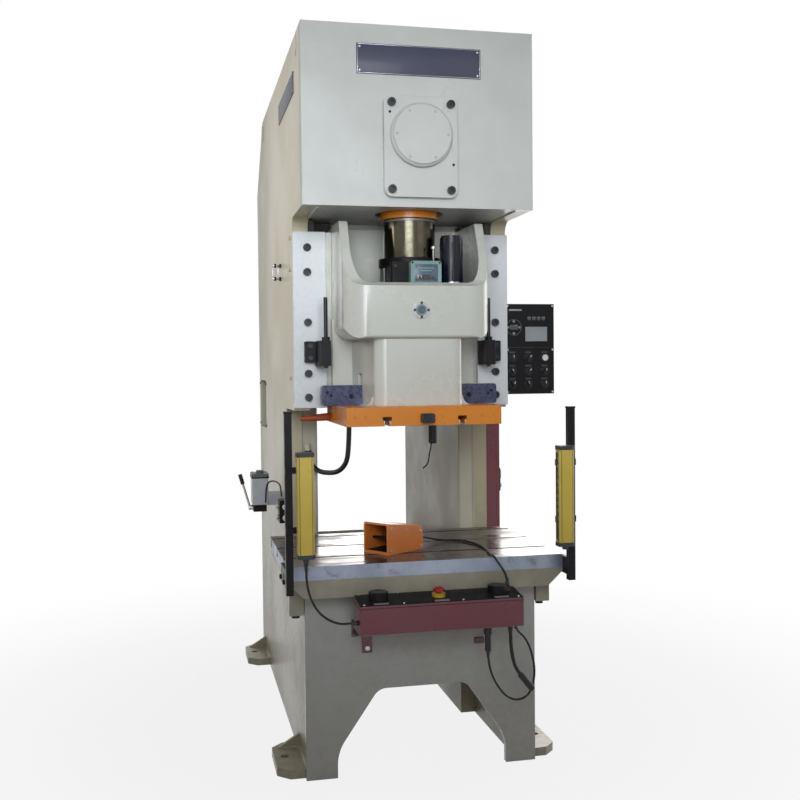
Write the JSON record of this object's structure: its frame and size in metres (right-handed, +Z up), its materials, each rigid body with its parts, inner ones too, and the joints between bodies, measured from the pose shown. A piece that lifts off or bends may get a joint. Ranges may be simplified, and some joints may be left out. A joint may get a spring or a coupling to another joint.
{
  "type": "mechanical stamping press",
  "caption": "Open-front crank press: C-shaped side plates, cream crown, slide with die-height adjustment in gibs, slotted bolster, light curtains, two-hand box and side cabinet.",
  "frame": {"origin": "middle of the machine's outline, on the floor it stands on", "axes": "+Z up, +X to the operator's right, +Y from the operator to the back"},
  "size_m": [1.2446, 2.1536, 2.693],
  "materials": {
    "frame_paint": "satin cream enamel over filled plate",
    "guide_iron": "scraped guide iron, oiled",
    "bolster_steel": "ground steel, oiled and lightly stained",
    "black_oxide": "black oxide",
    "bronze": "bearing bronze",
    "forged_steel": "machined forged steel",
    "gear_iron": "machined cast iron",
    "slide_paint": "gloss cream enamel on casting",
    "orange_paint": "orange enamel",
    "bright_steel": "turned and polished steel",
    "motor_paint": "grey-black motor enamel",
    "gearbox_black": "black enamel",
    "counter_green": "anodised case with rimmed window",
    "belt_rubber": "moulded rubber",
    "panel_black": "black powder coat",
    "white_button": "gloss moulded",
    "maroon_paint": "maroon enamel",
    "curtain_yellow": "yellow powder coat, grey end caps",
    "pump_grey": "grey enamel",
    "lever_black": "black enamel",
    "green_button": "gloss moulded",
    "red_button": "gloss moulded",
    "cord_black": "smooth black jacket",
    "valve_navy": "navy enamel"
  },
  "bodies": {
    "frame": {"side_plate_left": "frame_paint", "side_plate_right": "frame_paint", "crown_front": "frame_paint", "crown_top": "frame_paint", "crown_floor": "frame_paint", "bearing_walls": "frame_paint", "rear_cover": "frame_paint", "throat_columns": "frame_paint", "apron": "frame_paint", "back_plate": "frame_paint", "bed": "frame_paint", "bolster": "bolster_steel", "gib_left": "frame_paint", "gib_right": "frame_paint", "slide_guides": "guide_iron", "socket_bolts": "black_oxide", "bearing_cover": "frame_paint", "bearing_bushes": "bronze", "stop_brackets": "black_oxide", "drive_belts": "belt_rubber", "drive_motor": "motor_paint", "control_panel": "panel_black", "cabinet": "maroon_paint", "two_hand_box": "maroon_paint", "curtain_posts": "black_oxide", "light_curtains": "curtain_yellow", "lube_pump": "pump_grey", "foot_switch": "orange_paint", "switch_lead": "cord_black", "curtain_lead": "cord_black", "loop_lead": "cord_black", "conduit": "cord_black", "slide_hose_lower": "cord_black"},
    "rod": {"connecting_rod": "orange_paint", "ball_sleeve": "bright_steel"},
    "slide": {"slide_casting": "slide_paint", "slide_plate": "orange_paint", "shank_clamp": "black_oxide", "adjuster_gearbox": "gearbox_black", "height_counter": "counter_green", "adjuster_motor": "motor_paint", "adjuster_port": "bright_steel", "air_valve": "valve_navy", "slide_hose_upper": "cord_black"},
    "knockout": {"knockout_bar": "black_oxide"},
    "crank": {"crankshaft": "forged_steel", "main_gear": "gear_iron"},
    "strap": {"rod_strap": "forged_steel"},
    "pinion": {"pinion_shaft": "forged_steel"},
    "flywheel": {"flywheel": "gear_iron"},
    "pulley": {"motor_pulley": "gear_iron"},
    "stop_left": {"stop_screw_left": "black_oxide"},
    "stop_right": {"stop_screw_right": "black_oxide"},
    "panel_push": {"panel_button": "white_button"},
    "door": {"cabinet_door": "maroon_paint"},
    "palm_left": {"palm_button_left": "green_button"},
    "palm_right": {"palm_button_right": "green_button"},
    "estop": {"estop_button": "red_button"},
    "lever": {"lube_lever": "lever_black"},
    "pedal": {"foot_pedal": "lever_black"}
  },
  "joints": [
    {"name": "stroke", "type": "slide", "parent": "frame", "child": "rod", "axis": [0, 0, 1], "range_m": [-0.16, 0], "deforming": ["slide_hose_lower"]},
    {"name": "height_adjust", "type": "slide", "parent": "rod", "child": "slide", "axis": [0, 0, 1], "range_m": [-0.08, 0], "deforming": ["slide_hose_upper"]},
    {"name": "knockout_lift", "type": "slide", "parent": "slide", "child": "knockout", "axis": [0, 0, 1], "range_m": [0, 0.042]},
    {"name": "crank_turn", "type": "hinge", "parent": "frame", "child": "crank", "pos_m": [-0.01174, -0.64025, 2.304], "axis": [0, 1, 0], "range_deg": [0, 180]},
    {"name": "strap_turn", "type": "hinge", "parent": "crank", "child": "strap", "pos_m": [-0.01174, -0.64025, 2.384], "axis": [0, 1, 0], "range_deg": [-180, 0]},
    {"name": "pinion_turn", "type": "hinge", "parent": "frame", "child": "pinion", "pos_m": [-0.01174, -0.64025, 1.904], "axis": [0, 1, 0], "range_deg": [-720, 0]},
    {"name": "flywheel_turn", "type": "hinge", "parent": "frame", "child": "flywheel", "pos_m": [-0.01174, -0.64025, 1.904], "axis": [0, 1, 0], "continuous": true},
    {"name": "pulley_turn", "type": "hinge", "parent": "frame", "child": "pulley", "pos_m": [-0.01174, -0.64025, 1.37], "axis": [0, 1, 0], "continuous": true},
    {"name": "stop_left_screw", "type": "slide", "parent": "frame", "child": "stop_left", "axis": [0, 0, 1], "range_m": [-0.06, 0.012]},
    {"name": "stop_right_screw", "type": "slide", "parent": "frame", "child": "stop_right", "axis": [0, 0, 1], "range_m": [-0.06, 0.012]},
    {"name": "panel_push_in", "type": "slide", "parent": "frame", "child": "panel_push", "axis": [0, 1, 0], "range_m": [0, 0.005], "stiffness_N_per_m": 600, "springref_m": -0.002},
    {"name": "door_hinge", "type": "hinge", "parent": "frame", "child": "door", "pos_m": [0.60026, 0.76375, 0.64], "axis": [0, 0, 1], "range_deg": [0, 110]},
    {"name": "palm_left_push", "type": "slide", "parent": "frame", "child": "palm_left", "axis": [0, 0, -1], "range_m": [0, 0.006], "stiffness_N_per_m": 1200, "springref_m": -0.003},
    {"name": "palm_right_push", "type": "slide", "parent": "frame", "child": "palm_right", "axis": [0, 0, -1], "range_m": [0, 0.006], "stiffness_N_per_m": 1200, "springref_m": -0.003},
    {"name": "estop_push", "type": "slide", "parent": "frame", "child": "estop", "axis": [0, 0, -1], "range_m": [0, 0.006]},
    {"name": "lever_pull", "type": "hinge", "parent": "frame", "child": "lever", "pos_m": [-0.56674, 0.02975, 0.882], "axis": [1, 0, 0], "range_deg": [0, 55], "stiffness_Nm_per_rad": 1, "springref_deg": -8.59},
    {"name": "pedal_press", "type": "hinge", "parent": "frame", "child": "pedal", "pos_m": [-0.05081, -0.64916, 0.829], "axis": [0.6018, -0.7986, 0], "range_deg": [0, 8], "stiffness_Nm_per_rad": 5, "springref_deg": -8.59}
  ],
  "couplings": [
    {"joint": "crank_turn", "follows": "stroke", "rad_per_m": -19.635},
    {"joint": "strap_turn", "follows": "stroke", "rad_per_m": 19.635},
    {"joint": "pinion_turn", "follows": "stroke", "rad_per_m": 78.54},
    {"joint": "pulley_turn", "follows": "flywheel_turn", "ratio": 4.7647}
  ]
}
